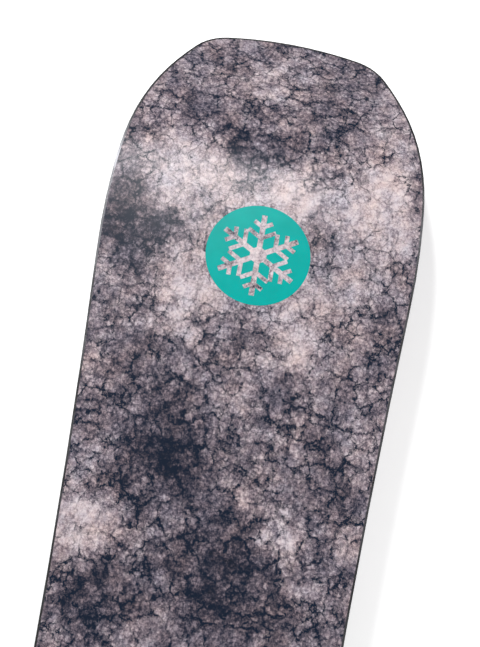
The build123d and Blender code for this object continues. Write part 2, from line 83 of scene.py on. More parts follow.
# ---- A cushion before it swells: its mesh, and how much smaller than the cover it is.
BLANK_STATIONS = 48
BLANK_SIDES = 28
BLANK_END = 0.004
BLANK_SIDE_SHRINK = 0.001
BLANK_FACE_SHRINK = 0.0006
BLANK_LEAST_HALF = 0.0015
BLANK_SIDE_POWER = 0.55
BLANK_FACE_POWER = 0.75

# ---- The cloth simulation that swells it.
SWELL_VOXEL = 0.004
SWELL_PRESSURE = 4.0
SWELL_FRAMES = 20
SWELL_CAP = 0.0025
PINNED_FROM = 0.7

# ---- Its bound edge, and its stitches, which are laid where rays meet the cushion.
RIM_STEPS = 90
RIM_LEAST_HALF = 0.004
TAPE_INSET = 0.0011
TAPE_HALF_HEIGHT = 0.0031
TAPE_HALF_THICKNESS = 0.0019
TAPE_SIDES = 12
TAPE_PUCKER = 0.05
PUCKER_STEP = 1.9
STITCH_INSET = 0.0042
STITCH_PITCH = 0.0040
STITCH_LENGTH = 0.0028
STITCH_RADIUS = 0.00042
STITCH_LIFT = 0.0001
STITCH_SIDES = 6
STITCH_RINGS = ((-0.5, 0.35), (-0.36, 1.0), (0.36, 1.0), (0.5, 0.35))
RAY_START = 0.075
RAY_LENGTH = 0.03
LONGEST_SEAM_STEP = 0.01

# ---- Foam: the size of its faces, and the soft edge and depth of its moulded grooves.
# A set of grooves is its pitch and its half width.
FOOT_FOAM_VOXEL = 0.0013
CALF_FOAM_VOXEL = 0.0011
SOFT_EDGE = 0.002
GROOVE_DEPTH = 0.0013

# ---- The footbed: the heights between which its shaping sets in, its chevrons, and its heel.
FOOTBED_TOP = (0.0105, 0.0124)
CHEVRONS = (0.0125, 0.0024)
CHEVRON_SLOPE = 0.55
CHEVRON_LENGTH = (-0.050, 0.056)
CHEVRON_HALF = 0.036
HEEL_X = -0.075
HEEL_RINGS = (0.009, 0.0020)
HEEL_RING_RADII = (0.006, 0.030)
HEEL_RING_FRONT = (-0.064, -0.060)
HEEL_DISH_DEPTH = 0.0008
HEEL_DISH_RADIUS = 0.040

# ---- The toe ramp: the heights between which its shaping sets in, and its grooves.
TOE_RAMP_TOP = (0.0110, 0.0125)
TOE_GROOVES = (0.0075, 0.0021)
TOE_GROOVE_LENGTH = (0.072, 0.100)
TOE_GROOVE_HALF = 0.040

# ---- The calf pad: the highback's pivot, lean and shell, its inner side, and its grooves.
PIVOT = (-0.042, 0.056)
FORWARD_LEAN = 10.0
SHELL_CENTRE_X = -0.030
CALF_INNER_SIDE = (0.0483, 0.0495)
CALF_GROOVES = (0.020, 0.0026)
CALF_GROOVE_SLOPE = 0.35
CALF_GROOVE_DEPTH = 0.0015
CALF_SPINE = (0.0012, 0.0030)

# ---- The photograph's viewpoint: it faces the running base, from below the row frame's floor.
CAMERA_PLACE = Vector((0.1351, -0.0365, -1.2300))
CAMERA_AIM = Vector((0.5044, -0.0055, 0.0))
CAMERA_UP = Vector((0.943, -0.182, -0.279))
LENS = 77.9

# ---- Colours, as linear RGB.
NAVY = (0.007, 0.010, 0.018)
SLATE = (0.040, 0.036, 0.052)
MAUVE = (0.222, 0.180, 0.204)
BLUSH = (0.530, 0.458, 0.472)
CREAM = (0.630, 0.568, 0.568)
CRACK = (0.004, 0.009, 0.021)
COOL = (0.89, 0.93, 1.0)
WARM = (1.0, 0.91, 0.87)
INLAY_DARK = (0.000, 0.255, 0.232)
INLAY_LIGHT = (0.000, 0.300, 0.272)

# ---- Moulded plastics: material, dark and light shade, roughness, grain scale and grain depth.
FINE_GRAIN = (1400.0, 0.00004)
PLASTICS = {
    "spacer": ("tip_fill", (0.012, 0.012, 0.014), (0.04, 0.04, 0.045), 0.45, *FINE_GRAIN),
    "sidewall": ("sidewall_abs", (0.010, 0.010, 0.012), (0.035, 0.036, 0.040), 0.42, 600.0, 0.00004),
    "gasket": ("gasket_rubber", (0.02, 0.02, 0.022), (0.05, 0.05, 0.055), 0.85, 900.0, 0.0002),
    "nylon": ("glassfilled_nylon", (0.020, 0.022, 0.026), (0.060, 0.064, 0.072), 0.52, *FINE_GRAIN),
    "disc_nylon": ("disc_nylon", (0.10, 0.105, 0.11), (0.20, 0.21, 0.22), 0.5, *FINE_GRAIN),
    "highback_nylon": ("highback_nylon", (0.022, 0.030, 0.044), (0.060, 0.075, 0.100), 0.42, *FINE_GRAIN),
    "accent": ("accent_plastic", (0.000, 0.260, 0.225), (0.010, 0.400, 0.345), 0.38, 900.0, 0.00002),
    "band_plastic": ("band_tpu", (0.020, 0.022, 0.026), (0.055, 0.060, 0.070), 0.48, 700.0, 0.00004),
}

# ---- Metals: material, dark and light shade, roughness, and the brushing's scale on each axis.
METALS = {
    # The edge steel's two shades are kept very dark: steel colour with a painted dark reflection,
    # standing in for the dark studio that the edge mirrors.
    "steel_edge": ("edge_steel_painted_dark_reflection", (0.05, 0.05, 0.055), (0.17, 0.17, 0.18), 0.26, (0.05, 1.0, 1.0)),
    "zinc_steel": ("zinc_plate", (0.42, 0.42, 0.40), (0.66, 0.66, 0.64), 0.30, (1.0, 1.0, 1.0)),
    "hoop_metal": ("anodised_hoop", (0.05, 0.055, 0.065), (0.12, 0.125, 0.14), 0.36, (1.0, 1.0, 0.1)),
    "buckle_metal": ("buckle_alloy", (0.40, 0.41, 0.43), (0.62, 0.63, 0.65), 0.30, (1.0, 0.1, 1.0)),
}
BRUSHING_SCALE = 300.0

# ---- The white room: how strongly it lights things, and how bright it looks behind them.
ROOM_LIGHT = 0.40
ROOM_SEEN = 0.55

# ---- The floor, and the table that the photograph's board lies on: colour, glow and height.
FLOOR = ((0.66, 0.66, 0.66), 0.21, 0.0)
TABLE = ((0.92, 0.92, 0.92), 0.235, 0.062)
STAGE_HALF = 40.0

# ---- Lamps: direction, distance, size, power, and what they don't light.
LAMPS_BELOW = {
    "key_below": ((0.66, -0.34, -0.67), 2.2, 0.45, 48.0, "glossy"),
    "sheen_below": ((0.485, -0.06, -0.87), 2.2, 0.60, 13.0, "diffuse"),
    "fill_below_tail": ((-0.75, 0.35, -0.60), 2.6, 1.6, 40.0, "glossy"),
    "fill_below_side": ((-0.10, -0.85, -0.55), 2.6, 1.6, 20.0, "glossy"),
}
LAMPS_ABOVE = {
    "key_above": ((0.45, -0.55, 0.75), 3.2, 1.4, 76.0, None),
    "fill_above": ((-0.6, 0.65, 0.55), 3.4, 2.2, 40.0, None),
}
ABOVE_TARGET = Vector((0.0, 0.0, 0.1))

# ---- The print's noises: cells to a metre, detail and roughness.
CLOUDS = (13.0, 7.0, 0.68)
DRIFT = (20.0, 6.0, 0.70)
SPECKLE = (330.0, 6.0, 0.76)
GRAIN = (75.0, 5.0, 0.70)
WARMTH = (26.0, 6.0, 0.72)
RIPPLE = (150.0, 4.0, 0.66)
BREAKS = (34.0, 5.0, 0.72)
MIDDLE_GREY = (0.5, 0.5, 0.5)

# ---- How strongly they act: distances in metres, and shares of the tone.
DRIFT_DISTANCE = 0.13
RIPPLE_DISTANCE = 0.011
SPECKLE_STRENGTH = 1.25
GRAIN_STRENGTH = 0.9

# ---- What each of these ranges turns into: low, high, and what low and high become.
CLOUD_TONES = (0.25, 0.75, 0.34, 0.62)
CRACKS_NARROW = (0.30, 0.80, 0.80, 1.9)
CRACKS_FADE = (0.50, 0.88, 1.0, 0.12)
CRACKS_BREAK = (0.34, 0.56, 0.50, 1.0)

# ---- The crackle: cells to a metre, the share of a cell that a line takes, and the line's strength.
CRACKLE = [(52.0, 0.13, 0.58), (135.0, 0.18, 0.52), (330.0, 0.25, 0.28)]

# ---- The print's colours from dark to light.
PRINT_RAMP = [(0.07, NAVY), (0.25, SLATE), (0.46, MAUVE), (0.71, BLUSH), (0.95, CREAM)]
TINT_RAMP = [(0.36, COOL), (0.64, WARM)]

# ---- Its pale and dark areas: place from the disc's centre, radius, and strength.
PRINT_AREAS = [
    (0.055, -0.065, 0.060, 0.14), (0.068, 0.010, 0.045, 0.14), (0.106, 0.085, 0.050, 0.05),
    (0.060, 0.101, 0.048, 0.18), (0.170, 0.095, 0.050, 0.06), (0.190, -0.060, 0.060, 0.08),
    (0.105, -0.010, 0.048, -0.13), (0.225, 0.010, 0.060, 0.12), (0.000, 0.125, 0.040, 0.12),
    (0.000, 0.000, 0.055, 0.22), (-0.010, 0.090, 0.045, 0.12), (-0.050, -0.060, 0.040, 0.14),
    (-0.075, 0.035, 0.035, 0.20), (-0.272, -0.110, 0.045, 0.16), (-0.020, -0.080, 0.035, 0.10),
    (-0.223, 0.027, 0.020, 0.26), (-0.256, 0.069, 0.016, 0.26), (-0.285, 0.085, 0.016, 0.26),
    (0.192, 0.013, 0.030, 0.20), (0.110, -0.125, 0.030, -0.04),
    (0.005, -0.126, 0.045, -0.14), (-0.160, -0.070, 0.060, -0.16), (-0.225, -0.060, 0.050, -0.14),
    (-0.320, -0.010, 0.060, -0.17), (-0.345, -0.090, 0.045, -0.17), (-0.320, 0.070, 0.055, -0.12),
    (-0.270, 0.020, 0.050, -0.14), (-0.170, 0.060, 0.050, -0.08),
]


# ---------------------------------------------------------------- node graphs

class Graph:
    """A material, and short ways to add its nodes."""

    def __init__(self, name):
        self.material = bpy.data.materials.new(name)
        self.material.use_nodes = True
        self.tree = self.material.node_tree
        self.shader = self.tree.nodes["Principled BSDF"]
        self.place = self.tree.nodes.new("ShaderNodeTexCoord").outputs["Object"]

    def put(self, socket, value):
        if isinstance(value, bpy.types.NodeSocket):
            self.tree.links.new(value, socket)
        elif isinstance(value, tuple) and len(value) == 3 and socket.type == "RGBA":
            socket.default_value = (*value, 1.0)
        else:
            socket.default_value = value

    def noise(self, scale, detail=4.0, roughness=0.6, vector=None, colour=False):
        node = self.tree.nodes.new("ShaderNodeTexNoise")
        self.put(node.inputs["Vector"], vector or self.place)
        self.put(node.inputs["Scale"], scale)
        self.put(node.inputs["Detail"], detail)
        self.put(node.inputs["Roughness"], roughness)
        return node.outputs["Color" if colour else "Fac"]

    def cell_edges(self, scale, vector):
        node = self.tree.nodes.new("ShaderNodeTexVoronoi")
        node.feature = "DISTANCE_TO_EDGE"
        self.put(node.inputs["Vector"], vector)
        self.put(node.inputs["Scale"], scale)
        return node.outputs["Distance"]

    def math(self, operation, a, b=0.0, c=0.0):
        node = self.tree.nodes.new("ShaderNodeMath")
        node.operation = operation
        for socket, value in zip(node.inputs, (a, b, c)):
            self.put(socket, value)
        return node.outputs["Value"]

    def vector(self, operation, a, b):
        node = self.tree.nodes.new("ShaderNodeVectorMath")
        node.operation = operation
        self.put(node.inputs[0], a)
        if operation == "SCALE":
            self.put(node.inputs["Scale"], b)
        else:
            self.put(node.inputs[1], b)
        return node.outputs["Value" if operation in ("DISTANCE", "LENGTH") else "Vector"]

    def remap(self, value, low, high, to_low=0.0, to_high=1.0):
        node = self.tree.nodes.new("ShaderNodeMapRange")
        node.interpolation_type = "SMOOTHSTEP"
        for socket, given in zip(node.inputs, (value, low, high, to_low, to_high)):
            self.put(socket, given)
        return node.outputs["Result"]

    def mix(self, share, a, b):
        node = self.tree.nodes.new("ShaderNodeMix")
        node.data_type = "RGBA"
        self.put(node.inputs["Factor"], share)
        colours = [socket for socket in node.inputs if socket.type == "RGBA"]
        self.put(colours[0], a)
        self.put(colours[1], b)
        return [socket for socket in node.outputs if socket.type == "RGBA"][0]

    def ramp(self, value, stops):
        node = self.tree.nodes.new("ShaderNodeValToRGB")
        self.put(node.inputs["Fac"], value)
        elements = node.color_ramp.elements
        while len(elements) < len(stops):
            elements.new(0.5)
        for element, (position, colour) in zip(elements, stops):
            element.position = position
            element.color = (*colour, 1.0)
        return node.outputs["Color"]

    def stretch(self, x, y, z):
        """The object's place with each axis scaled."""
        return self.vector("MULTIPLY", self.place, (x, y, z))

    def bump(self, height, distance, strength=1.0):
        node = self.tree.nodes.new("ShaderNodeBump")
        self.put(node.inputs["Height"], height)
        self.put(node.inputs["Distance"], distance)
        self.put(node.inputs["Strength"], strength)
        self.put(self.shader.inputs["Normal"], node.outputs["Normal"])

    def set(self, **values):
        for name, value in values.items():
            self.put(self.shader.inputs[name.replace("_", " ").title().replace("Ior", "IOR")], value)
        return self.material


def wavering(graph, noise, distance, place):
    """A small sideways push that changes from place to place."""
    push = graph.vector("SUBTRACT", graph.noise(*noise, place, colour=True), MIDDLE_GREY)
    return graph.vector("SCALE", push, distance)


def print_tone(graph, place, areas):
    """The print's wide soft areas: clouds, and the areas given, with their outlines broken up."""
    drifted = graph.vector("ADD", graph.place, wavering(graph, DRIFT, DRIFT_DISTANCE, place))
    tone = graph.remap(graph.noise(*CLOUDS, place), *CLOUD_TONES)
    for x, y, radius, strength in areas:
        centre = tuple(INLAY_CENTRE + Vector((x, y, 0.0)))
        distance = graph.vector("DISTANCE", drifted, centre)
        area = graph.remap(distance, radius * 1.35, radius * 0.15, 0.0, strength)
        tone = graph.math("ADD", tone, area)
    return tone


def print_cracks(graph, place, tone):
    """How strongly the crackle shows: three sizes of cell edges, thin and faint in pale areas."""
    rippled = graph.vector("ADD", place, wavering(graph, RIPPLE, RIPPLE_DISTANCE, place))
    narrow = graph.remap(tone, *CRACKS_NARROW)
    cracks = 0.0
    for scale, width, strength in CRACKLE:
        edges = graph.math("MULTIPLY", graph.cell_edges(scale, rippled), narrow)
        cracks = graph.math("MULTIPLY_ADD", graph.remap(edges, 0.0, width, 1.0, 0.0), strength, cracks)
    broken = graph.remap(graph.noise(*BREAKS, place), *CRACKS_BREAK)
    shown = graph.math("MULTIPLY", graph.remap(tone, *CRACKS_FADE), broken)
    return graph.math("MULTIPLY", cracks, shown)


def rock_colour(graph, seed, areas):
    """The print: wide soft areas, grain and speckle, crossed by navy crackle."""
    place = graph.vector("ADD", graph.place, (seed, 0.0, 0.0))
    tone = print_tone(graph, place, areas)
    light = tone
    for noise, strength in ((SPECKLE, SPECKLE_STRENGTH), (GRAIN, GRAIN_STRENGTH)):
        change = graph.math("SUBTRACT", graph.noise(*noise, place), 0.5)
        light = graph.math("MULTIPLY_ADD", change, strength, light)
    colour = graph.ramp(light, PRINT_RAMP)
    warmth = graph.noise(*WARMTH, graph.vector("ADD", place, (0.0, 5.3, 0.0)))
    colour = graph.vector("MULTIPLY", colour, graph.ramp(warmth, TINT_RAMP))
    return graph.mix(print_cracks(graph, place, tone), colour, CRACK)


def ground_surface(graph):
    """The fine lengthwise lines that a stone grinder leaves in a running base."""
    grind = graph.noise(900.0, 2.0, 0.5, graph.stretch(0.03, 1.0, 1.0))
    graph.bump(grind, 0.000008)
    return grind


def running_base_material():
    graph = Graph("running_base")
    grind = ground_surface(graph)
    return graph.set(base_color=rock_colour(graph, 0.0, PRINT_AREAS),
                     roughness=graph.remap(grind, 0.3, 0.7, 0.19, 0.24),
                     specular_ior_level=0.2)


def topsheet_material():
    graph = Graph("topsheet_print")
    orange_peel = graph.noise(420.0, 2.0, 0.5)
    graph.bump(orange_peel, 0.00003)
    scuffs = graph.noise(40.0, 6.0, 0.75)
    return graph.set(base_color=rock_colour(graph, 3.7, []),
                     roughness=graph.remap(scuffs, 0.4, 0.7, 0.30, 0.44),
                     specular_ior_level=0.3, coat_weight=0.10, coat_roughness=0.25)


def inlay_material():
    graph = Graph("inlay_turquoise")
    grind = ground_surface(graph)
    colour = graph.ramp(graph.noise(30.0, 3.0), [(0.3, INLAY_DARK), (0.7, INLAY_LIGHT)])
    return graph.set(base_color=colour, roughness=graph.remap(grind, 0.3, 0.7, 0.20, 0.25),
                     specular_ior_level=0.09)


def metal_material(name, dark, light, roughness, along):
    """Metal with fine brushing, drawn out along the axis that is scaled down."""
    graph = Graph(name)
    brushing = graph.noise(BRUSHING_SCALE, 3.0, 0.6, graph.stretch(*along))
    stain = graph.noise(25.0, 4.0, 0.6)
    colour = graph.ramp(graph.math("MULTIPLY_ADD", brushing, 0.5, graph.math("MULTIPLY", stain, 0.5)),
                        [(0.3, dark), (0.7, light)])
    graph.bump(brushing, 0.00002)
    return graph.set(base_color=colour, metallic=1.0,
                     roughness=graph.remap(stain, 0.3, 0.7, roughness - 0.06, roughness + 0.08))


def plastic_material(name, dark, light, roughness, grain_scale, grain_depth):
    """Moulded plastic: a fine leathery grain, slight cloudiness, and rubbed patches."""
    graph = Graph(name)
    grain = graph.noise(grain_scale, 2.0, 0.5)
    cloud = graph.noise(18.0, 4.0, 0.6)
    rubbed = graph.remap(graph.noise(55.0, 5.0, 0.7), 0.56, 0.72)
    colour = graph.ramp(graph.math("MULTIPLY_ADD", rubbed, 0.35, cloud), [(0.35, dark), (0.95, light)])
    graph.bump(grain, grain_depth)
    return graph.set(base_color=colour,
                     roughness=graph.remap(rubbed, 0.0, 1.0, roughness, roughness - 0.14))


def wood_material():
    graph = Graph("core_strips")
    strips = graph.noise(14.0, 1.0, 0.4, graph.stretch(0.02, 3.0, 0.2))
    grain = graph.noise(160.0, 5.0, 0.7, graph.stretch(0.04, 1.0, 1.0))
    colour = graph.ramp(graph.math("MULTIPLY_ADD", grain, 0.45, strips),
                        [(0.45, (0.30, 0.17, 0.08)), (0.95, (0.62, 0.44, 0.25))])
    graph.bump(grain, 0.00008)
    return graph.set(base_color=colour, roughness=0.6)


def laminate_material():
    graph = Graph("glass_laminate")
    weave_x = graph.noise(700.0, 1.0, 0.5, graph.stretch(0.05, 1.0, 1.0))
    weave_y = graph.noise(700.0, 1.0, 0.5, graph.stretch(1.0, 0.05, 1.0))
    weave = graph.math("MAXIMUM", weave_x, weave_y)
    colour = graph.ramp(weave, [(0.4, (0.16, 0.15, 0.10)), (0.7, (0.34, 0.32, 0.22))])
    graph.bump(weave, 0.00005)
    return graph.set(base_color=colour, roughness=0.4)


def foam_material():
    """Moulded EVA: closed cells and small moulded pits."""
    graph = Graph("eva_foam")
    cells = graph.cell_edges(900.0, graph.place)
    cloud = graph.noise(22.0, 4.0, 0.6)
    colour = graph.ramp(cloud, [(0.3, (0.040, 0.046, 0.055)), (0.7, (0.085, 0.092, 0.105))])
    graph.bump(cells, 0.00025, 0.6)
    return graph.set(base_color=colour, roughness=0.85)


def fabric_material():
    """Woven pad cover: two crossing sets of yarns, seen as a fine basket."""
    graph = Graph("pad_weave")
    yarns = []
    for along in ((1.0, 1.0, 0.12), (0.12, 1.0, 1.0)):
        yarns.append(graph.noise(1150.0, 1.0, 0.4, graph.stretch(*along)))
    weave = graph.math("MAXIMUM", *yarns)
    wear = graph.noise(38.0, 5.0, 0.65)
    colour = graph.ramp(graph.math("MULTIPLY_ADD", weave, 0.6, graph.math("MULTIPLY", wear, 0.4)),
                        [(0.40, (0.022, 0.025, 0.032)), (0.70, (0.120, 0.128, 0.145))])
    graph.bump(weave, 0.0004, 0.8)
    return graph.set(base_color=colour, roughness=0.9, sheen_weight=0.35, sheen_roughness=0.5)


def thread_material():
    graph = Graph("stitch_thread")
    twist = graph.noise(1500.0, 2.0)
    colour = graph.ramp(twist, [(0.3, (0.0, 0.25, 0.22)), (0.7, (0.02, 0.42, 0.37))])
    graph.bump(twist, 0.0002)
    return graph.set(base_color=colour, roughness=0.7)


def edge_tape_material():
    """Ribbed binding tape: fine ribs with a little fray."""
    graph = Graph("edge_tape")
    ribs = graph.noise(1600.0, 1.0, 0.4, graph.stretch(1.0, 1.0, 0.3))
    fray = graph.noise(90.0, 4.0, 0.7)
    colour = graph.ramp(graph.math("MULTIPLY_ADD", ribs, 0.6, graph.math("MULTIPLY", fray, 0.4)),
                        [(0.40, (0.012, 0.014, 0.018)), (0.70, (0.050, 0.054, 0.062))])
    graph.bump(ribs, 0.0003, 0.7)
    return graph.set(base_color=colour, roughness=0.8, sheen_weight=0.2, sheen_roughness=0.5)


def make_materials():
    """Every material, by its slot in the record, and the sewn edges' tape and thread."""
    materials = {
        "base_sheet": running_base_material(),
        "base_inlay": inlay_material(),
        "topsheet": topsheet_material(),
        "laminate": laminate_material(),
        "core_wood": wood_material(),
        "foam": foam_material(),
        "pad_fabric": fabric_material(),
        "edge_tape": edge_tape_material(),
        "thread": thread_material(),
    }
    for slot, settings in PLASTICS.items():
        materials[slot] = plastic_material(*settings)
    for slot, settings in METALS.items():
        materials[slot] = metal_material(*settings)
    return materials


def paint_frame(materials):
    """Each CAD node takes the material of its own slot in the record."""
    slots = {part["node"]: part["material_slot"] for part in frame["record"]["subparts"]}
    for name, node in frame["nodes"].items():
        node.data.materials.clear()
        node.data.materials.append(materials[slots[name]])


# ---------------------------------------------------------------- soft goods

def link(piece):
    bpy.context.scene.collection.objects.link(piece)
    return piece


def new_piece(name, verts, faces):
    mesh = bpy.data.meshes.new(name)
    mesh.from_pydata([tuple(v) for v in verts], [], faces)
    mesh.update()
    return link(bpy.data.objects.new(name, mesh))


def evaluated_mesh(piece):
    bpy.context.view_layer.update()
    graph = bpy.context.evaluated_depsgraph_get()
    return bpy.data.meshes.new_from_object(piece.evaluated_get(graph))


def apply_modifiers(piece):
    mesh = evaluated_mesh(piece)
    piece.modifiers.clear()
    piece.data = mesh
    return piece


def get_points(piece):
    points = np.zeros(len(piece.data.vertices) * 3)
    piece.data.vertices.foreach_get("co", points)
    return points.reshape(-1, 3)


def set_points(piece, points):
    piece.data.vertices.foreach_set("co", points.ravel())
    piece.data.update()


def moved(points, matrix):
    m = np.array(matrix)
    return points @ m[:3, :3].T + m[:3, 3]


def smooth(value, low, high):
    t = np.clip((value - low) / (high - low), 0.0, 1.0)
    return t * t * (3.0 - 2.0 * t)


def foot_matrix(foot):
    """From a left binding's own frame to the row frame; the rear one is mirrored."""
    x, angle, side = FEET[foot]
    turn = Matrix.Rotation(math.radians(angle - 90.0), 4, "Z")
    return Matrix.Translation((x, 0.0, TOPSHEET_HEIGHT)) @ turn @ Matrix.Diagonal((1.0, side, 1.0, 1.0))


def strap_matrix(strap):
    bolt, tilt = STRAPS[strap][:2]
    return Matrix.Translation((bolt[0], 0.0, bolt[1])) @ Matrix.Rotation(math.radians(tilt), 4, "Y")


def on_arch(leg, angle, radius, across):
    """A point round the arch, from an angle in radians, in the strap's own frame."""
    return np.array((across, radius * math.sin(angle), leg + radius * math.cos(angle)))


def arch_places(points, leg):
    """The angle, in degrees, and the radius of points in the strap's own frame."""
    rise = points[:, 2] - leg
    return np.degrees(np.arctan2(points[:, 1], rise)), np.hypot(points[:, 1], rise)


def pad_half_width(strap, share):
    """The cushion's half width at a share of its length: it narrows to both ends and rounds off."""
    half = STRAPS[strap][3]
    away = abs(2.0 * share - 1.0)
    width = half * (1.0 - (1.0 - PAD_END_WIDTH) * float(smooth(away, PAD_NARROWS_FROM, 1.0)))
    length = ARCH_MIDDLE * math.radians(PAD_END - PAD_START) / 2
    round_from = 1.0 - half * PAD_END_WIDTH / length
    over = max(0.0, (away - round_from) / (1.0 - round_from))
    return width * math.sqrt(max(0.0, 1.0 - over ** PAD_CORNER_POWER))


def pad_angle(share):
    """The angle round the arch, in radians, at a share of the cushion's length."""
    return math.radians(PAD_START + (PAD_END - PAD_START) * share)


def squared(value, power):
    """A sine or cosine that keeps its sign, flattened to square off an oval."""
    return math.copysign(abs(value) ** power, value)


def add_tube_faces(faces, first, rings, sides):
    """The faces of an open tube between rings of points."""
    for i in range(rings - 1):
        row = first + i * sides
        for j in range(sides):
            n = (j + 1) % sides
            faces.append((row + j, row + n, row + sides + n, row + sides + j))


def pad_blank(strap):
    """The cushion before it swells: a flat tube round the arch, a little smaller than the cover."""
    leg = STRAPS[strap][2]
    half_thickness = (ARCH_OUTER - ARCH_INNER) / 2 - BLANK_FACE_SHRINK
    verts = []
    for i in range(BLANK_STATIONS + 1):
        share = BLANK_END + (1.0 - 2.0 * BLANK_END) * i / BLANK_STATIONS
        half = max(BLANK_LEAST_HALF, pad_half_width(strap, share) - BLANK_SIDE_SHRINK)
        for j in range(BLANK_SIDES):
            turn = 2.0 * math.pi * j / BLANK_SIDES
            across = half * squared(math.cos(turn), BLANK_SIDE_POWER)
            out = half_thickness * squared(math.sin(turn), BLANK_FACE_POWER)
            verts.append(on_arch(leg, pad_angle(share), ARCH_MIDDLE + out, across))
    faces = []
    add_tube_faces(faces, 0, BLANK_STATIONS + 1, BLANK_SIDES)
    last = BLANK_STATIONS * BLANK_SIDES
    faces.append(tuple(range(BLANK_SIDES - 1, -1, -1)))
    faces.append(tuple(range(last, last + BLANK_SIDES)))
    return new_piece(strap + "_blank", verts, faces)


def channel_weight(strap, angles, across):
    """How deep a point lies in a sewn channel: across the lobes, and along both sides of the band."""
    to_metres = math.radians(1.0) * ARCH_OUTER
    nearest = np.min([abs(angles - channel) for channel in STRAPS[strap][4]], axis=0) * to_metres
    cross_channels = np.exp(-(nearest / CHANNEL_HALF) ** 2) * smooth(abs(across), *CROSS_CHANNEL_START)
    beside_band = np.exp(-((abs(across) - BESIDE_BAND) / CHANNEL_HALF) ** 2)
    return np.maximum(cross_channels, BESIDE_BAND_SHARE * beside_band)


def swell(piece, pinned):
    """Inflates the cushion as cloth between its pinned seams, with each point's travel capped."""
    group = piece.vertex_groups.new(name="seams")
    group.add([int(i) for i in np.nonzero(pinned)[0]], 1.0, "REPLACE")
    cloth = piece.modifiers.new("swell", "CLOTH")
    cloth.settings.vertex_group_mass = "seams"
    cloth.settings.use_pressure = True
    cloth.settings.uniform_pressure_force = SWELL_PRESSURE
    cloth.settings.effector_weights.gravity = 0.0
    cloth.collision_settings.use_collision = False
    before = get_points(piece)
    for step in range(1, SWELL_FRAMES + 1):
        bpy.context.scene.frame_set(step)
    apply_modifiers(piece)
    travel = get_points(piece) - before
    length = np.linalg.norm(travel, axis=1, keepdims=True)
    travel *= np.minimum(1.0, SWELL_CAP / np.maximum(length, 1e-9))
    set_points(piece, before + travel)
    bpy.context.scene.frame_set(1)


def strap_cushion(strap):
    """One strap's cushion in its own frame: swollen, subdivided, sewn, and flat under the band."""
    leg = STRAPS[strap][2]
    piece = pad_blank(strap)
    remesh = piece.modifiers.new("remesh", "REMESH")
    remesh.mode = "VOXEL"
    remesh.voxel_size = SWELL_VOXEL
    even = piece.modifiers.new("even", "SMOOTH")
    even.iterations = 2
    apply_modifiers(piece)
    points = get_points(piece)
    angles, radii = arch_places(points, leg)
    in_channel = channel_weight(strap, angles, points[:, 0]) > PINNED_FROM
    pinned = (abs(points[:, 0]) < BAND_HALF) | in_channel & (radii > ARCH_MIDDLE)
    swell(piece, pinned)
    finer = piece.modifiers.new("finer", "SUBSURF")
    finer.levels = 2
    apply_modifiers(piece)
    points = get_points(piece)
    angles, radii = arch_places(points, leg)
    across = points[:, 0]
    share = smooth(radii, *OUTER_SIDE)
    radii = radii - CHANNEL_DEPTH * channel_weight(strap, angles, across) * share
    under_band = 1.0 - smooth(abs(across), *BAND_SIDE)
    under_buckle = (1.0 - smooth(abs(across), *BUCKLE_SIDE)) * smooth(angles, *BUCKLE_START)
    pressed = np.maximum(under_band, under_buckle)
    highest = PRESSED_HEIGHT + (1.0 - pressed) * UNPRESSED_RISE
    radii = np.where(pressed > 0, np.minimum(radii, highest), radii)
    radii = np.maximum(radii, LOWEST_INNER_SIDE)
    around = np.radians(angles)
    set_points(piece, np.stack([across, radii * np.sin(around), leg + radii * np.cos(around)], axis=1))
    piece.data.shade_smooth()
    return piece


def rim_path(strap, inset):
    """The cushion's outline, drawn in by the inset, as angles and widths."""
    near = [(i + 0.5) / RIM_STEPS for i in range(RIM_STEPS)]
    path = []
    for sign, shares in ((1, near), (-1, near[::-1])):
        for share in shares:
            half = pad_half_width(strap, share) - inset
            if half > RIM_LEAST_HALF:
                path.append((pad_angle(share), sign * half))
    return path


def edge_tape(strap):
    """The bound edge: a flat tube round the outline."""
    path = rim_path(strap, TAPE_INSET)
    centres = [on_arch(STRAPS[strap][2], angle, ARCH_MIDDLE, across) for angle, across in path]
    verts = []
    for i, (angle, _) in enumerate(path):
        along = centres[(i + 1) % len(path)] - centres[i - 1]
        along /= np.linalg.norm(along)
        out = np.array((0.0, math.sin(angle), math.cos(angle)))
        away = np.cross(along, out)
        height = TAPE_HALF_HEIGHT * (1.0 + TAPE_PUCKER * math.sin(i * PUCKER_STEP))
        for j in range(TAPE_SIDES):
            turn = 2.0 * math.pi * j / TAPE_SIDES
            across = away * TAPE_HALF_THICKNESS * math.sin(turn)
            verts.append(centres[i] + out * height * math.cos(turn) + across)
    faces = []
    for i in range(len(path)):
        row = i * TAPE_SIDES
        next_row = (i + 1) % len(path) * TAPE_SIDES
        for j in range(TAPE_SIDES):
            n = (j + 1) % TAPE_SIDES
            faces.append((row + j, next_row + j, next_row + n, row + n))
    piece = new_piece(strap + "_tape_blank", verts, faces)
    piece.data.shade_smooth()
    return piece


def seam_points(strap, cushion):
    """Points on the cushion along its seam, each with the way out of it."""
    leg = STRAPS[strap][2]
    bpy.context.view_layer.update()
    tree = BVHTree.FromObject(cushion, bpy.context.evaluated_depsgraph_get())
    laid = []
    for angle, across in rim_path(strap, STITCH_INSET):
        start = on_arch(leg, angle, RAY_START, across)
        inward = Vector((0.0, -math.sin(angle), -math.cos(angle)))
        hit = tree.ray_cast(Vector(start), inward, RAY_LENGTH)[0]
        if hit is not None:
            laid.append((np.array(hit), -np.array(inward)))
    return laid


